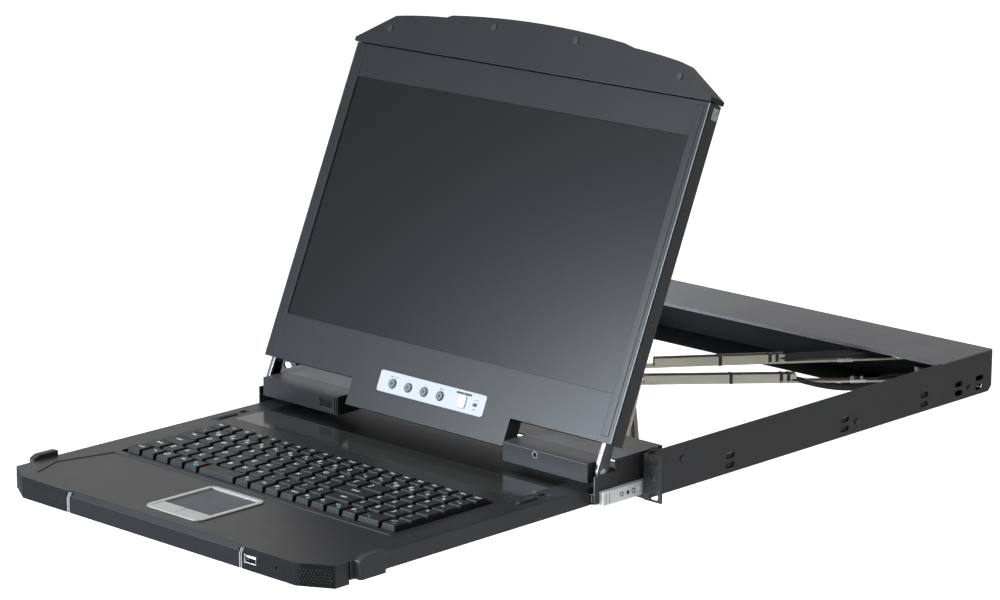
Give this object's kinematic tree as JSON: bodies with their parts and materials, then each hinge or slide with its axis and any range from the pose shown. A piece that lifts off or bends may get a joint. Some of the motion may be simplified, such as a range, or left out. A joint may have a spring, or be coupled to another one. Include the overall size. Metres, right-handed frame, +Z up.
{
  "type": "rackmount lcd console drawer",
  "caption": "One-unit rack console with a keyboard and touchpad tray, a folding screen panel on a sliding carriage, side rails with ears and folding cable arms.",
  "frame": {"origin": "centre of the front rack hole pattern, in the front plane of the ears", "axes": "+X to the user's right, +Y to the back of the rack, +Z up"},
  "size_m": [0.4826, 0.8813, 0.3843],
  "materials": {
    "dark_steel": "fine textured dark powder coat",
    "bright_steel": "zinc plated",
    "nickel_steel": "warm nickel plate",
    "dark_plastic": "fine grained moulding",
    "key_plastic": "satin key caps",
    "silver_plastic": "silver satin",
    "pad_plastic": "satin",
    "button_plastic": "satin buttons",
    "gloss_strip": "glossy black",
    "screen": "anti-glare display glass",
    "socket_plastic": "moulded socket bodies",
    "cable_rubber": "sheathed cables"
  },
  "bodies": {
    "chassis": {"right_rail": "dark_steel", "left_rail": "dark_steel", "rail_screws": "bright_steel", "rear_top_cover": "dark_steel", "rear_bottom_plate": "dark_steel", "rear_panel": "dark_steel", "rear_sockets": "socket_plastic", "cable_bulkhead": "dark_steel", "arm_brackets": "nickel_steel", "slide_channels": "bright_steel"},
    "power_switch": {"power_switch": "dark_plastic"},
    "lcd_carriage": {"carriage_frame": "dark_steel", "right_hinge_cover": "dark_plastic", "left_hinge_cover": "dark_plastic", "hinge_pins": "bright_steel", "slide_bars": "bright_steel", "drawer_guides": "bright_steel"},
    "lcd_panel": {"hinge_arms": "bright_steel", "panel_back_cover": "dark_steel", "panel_bezel": "dark_plastic", "screen_module": "screen", "panel_handle": "dark_plastic", "panel_screws": "bright_steel", "panel_latches": "bright_steel", "control_plate": "silver_plastic"},
    "keyboard_drawer": {"keyboard_tray": "dark_steel", "keyboard_shell": "dark_plastic", "front_socket": "bright_steel", "side_lugs": "dark_plastic", "drawer_runners": "bright_steel", "keyboard_plate": "key_plastic", "touchpad_frame": "silver_plastic", "touchpad": "pad_plastic", "status_strip": "gloss_strip"},
    "menu_button_1": {"menu_button_1": "button_plastic"},
    "menu_button_2": {"menu_button_2": "button_plastic"},
    "menu_button_3": {"menu_button_3": "button_plastic"},
    "menu_button_4": {"menu_button_4": "button_plastic"},
    "power_button": {"power_button": "button_plastic"},
    "touchpad_left_button": {"touchpad_left_button": "pad_plastic"},
    "touchpad_right_button": {"touchpad_right_button": "pad_plastic"},
    "left_release_catch": {"left_release_catch": "dark_plastic"},
    "right_release_catch": {"right_release_catch": "dark_plastic"},
    "function_keys": {"function_keys": "key_plastic"},
    "number_keys": {"number_keys": "key_plastic"},
    "upper_letter_keys": {"upper_letter_keys": "key_plastic"},
    "home_letter_keys": {"home_letter_keys": "key_plastic"},
    "lower_letter_keys": {"lower_letter_keys": "key_plastic"},
    "bottom_row_keys": {"bottom_row_keys": "key_plastic"},
    "space_bar": {"space_bar": "key_plastic"},
    "upper_rear_link": {"upper_rear_link": "nickel_steel", "upper_rear_cables": "cable_rubber"},
    "upper_front_link": {"upper_front_link": "nickel_steel", "upper_front_cables": "cable_rubber"},
    "lower_rear_link": {"lower_rear_link": "nickel_steel", "lower_rear_cables": "cable_rubber"},
    "lower_front_link": {"lower_front_link": "nickel_steel", "lower_front_cables": "cable_rubber"}
  },
  "joints": [
    {"name": "carriage_slide", "type": "slide", "parent": "chassis", "child": "lcd_carriage", "axis": [0, 1, 0], "range_m": [0, 0.37]},
    {"name": "drawer_slide", "type": "slide", "parent": "lcd_carriage", "child": "keyboard_drawer", "axis": [0, -1, 0], "range_m": [0, 0.04]},
    {"name": "panel_hinge", "type": "hinge", "parent": "lcd_carriage", "child": "lcd_panel", "pos_m": [0, -0.043, 0.011], "axis": [1, 0, 0], "range_deg": [-6, 113.8]},
    {"name": "power_rocker", "type": "hinge", "parent": "chassis", "child": "power_switch", "pos_m": [0.112, 0.5035, 0], "axis": [0, 0, 1], "range_deg": [0, 12]},
    {"name": "menu_button_1_press", "type": "slide", "parent": "lcd_panel", "child": "menu_button_1", "axis": [0, 0.915, -0.4035], "range_m": [0, 0.001], "stiffness_N_per_m": 400, "springref_m": -0.001},
    {"name": "menu_button_2_press", "type": "slide", "parent": "lcd_panel", "child": "menu_button_2", "axis": [0, 0.915, -0.4035], "range_m": [0, 0.001], "stiffness_N_per_m": 400, "springref_m": -0.001},
    {"name": "menu_button_3_press", "type": "slide", "parent": "lcd_panel", "child": "menu_button_3", "axis": [0, 0.915, -0.4035], "range_m": [0, 0.001], "stiffness_N_per_m": 400, "springref_m": -0.001},
    {"name": "menu_button_4_press", "type": "slide", "parent": "lcd_panel", "child": "menu_button_4", "axis": [0, 0.915, -0.4035], "range_m": [0, 0.001], "stiffness_N_per_m": 400, "springref_m": -0.001},
    {"name": "power_button_press", "type": "slide", "parent": "lcd_panel", "child": "power_button", "axis": [0, 0.915, -0.4035], "range_m": [0, 0.001], "stiffness_N_per_m": 400, "springref_m": -0.001},
    {"name": "touchpad_left_button_press", "type": "slide", "parent": "keyboard_drawer", "child": "touchpad_left_button", "axis": [0, 0, -1], "range_m": [0, 0.0004], "stiffness_N_per_m": 600, "springref_m": -0.001},
    {"name": "touchpad_right_button_press", "type": "slide", "parent": "keyboard_drawer", "child": "touchpad_right_button", "axis": [0, 0, -1], "range_m": [0, 0.0004], "stiffness_N_per_m": 600, "springref_m": -0.001},
    {"name": "left_release_catch_slide", "type": "slide", "parent": "keyboard_drawer", "child": "left_release_catch", "axis": [0, 1, 0], "range_m": [0, 0.008], "stiffness_N_per_m": 150, "springref_m": -0.004},
    {"name": "right_release_catch_slide", "type": "slide", "parent": "keyboard_drawer", "child": "right_release_catch", "axis": [0, 1, 0], "range_m": [0, 0.008], "stiffness_N_per_m": 150, "springref_m": -0.004},
    {"name": "function_keys_press", "type": "slide", "parent": "keyboard_drawer", "child": "function_keys", "axis": [0, 0, -1], "range_m": [0, 0.0016], "stiffness_N_per_m": 3000, "springref_m": -0.001},
    {"name": "number_keys_press", "type": "slide", "parent": "keyboard_drawer", "child": "number_keys", "axis": [0, 0, -1], "range_m": [0, 0.0016], "stiffness_N_per_m": 3000, "springref_m": -0.001},
    {"name": "upper_letter_keys_press", "type": "slide", "parent": "keyboard_drawer", "child": "upper_letter_keys", "axis": [0, 0, -1], "range_m": [0, 0.0016], "stiffness_N_per_m": 3000, "springref_m": -0.001},
    {"name": "home_letter_keys_press", "type": "slide", "parent": "keyboard_drawer", "child": "home_letter_keys", "axis": [0, 0, -1], "range_m": [0, 0.0016], "stiffness_N_per_m": 3000, "springref_m": -0.001},
    {"name": "lower_letter_keys_press", "type": "slide", "parent": "keyboard_drawer", "child": "lower_letter_keys", "axis": [0, 0, -1], "range_m": [0, 0.0016], "stiffness_N_per_m": 3000, "springref_m": -0.001},
    {"name": "bottom_row_keys_press", "type": "slide", "parent": "keyboard_drawer", "child": "bottom_row_keys", "axis": [0, 0, -1], "range_m": [0, 0.0016], "stiffness_N_per_m": 3000, "springref_m": -0.001},
    {"name": "space_bar_press", "type": "slide", "parent": "keyboard_drawer", "child": "space_bar", "axis": [0, 0, -1], "range_m": [0, 0.0016], "stiffness_N_per_m": 600, "springref_m": -0.001},
    {"name": "upper_rear_pivot", "type": "hinge", "parent": "chassis", "child": "upper_rear_link", "pos_m": [0.15, 0.46, 0.007], "axis": [0, 0, 1], "range_deg": [-47.65, 0.02]},
    {"name": "upper_elbow", "type": "hinge", "parent": "upper_rear_link", "child": "upper_front_link", "pos_m": [-0.00992, 0.255, 0.007], "axis": [0, 0, 1], "range_deg": [-0.02, 95.28]},
    {"name": "lower_rear_pivot", "type": "hinge", "parent": "chassis", "child": "lower_rear_link", "pos_m": [0.168, 0.46, -0.012], "axis": [0, 0, 1], "range_deg": [-42.99, 0.02]},
    {"name": "lower_elbow", "type": "hinge", "parent": "lower_rear_link", "child": "lower_front_link", "pos_m": [-0.02272, 0.255, -0.012], "axis": [0, 0, 1], "range_deg": [-0.02, 85.96]}
  ],
  "couplings": [
    {"joint": "upper_rear_pivot", "follows": "carriage_slide", "rad_per_m": -2.2468},
    {"joint": "upper_elbow", "follows": "carriage_slide", "rad_per_m": 4.4935},
    {"joint": "lower_rear_pivot", "follows": "carriage_slide", "rad_per_m": -2.027},
    {"joint": "lower_elbow", "follows": "carriage_slide", "rad_per_m": 4.0539}
  ]
}
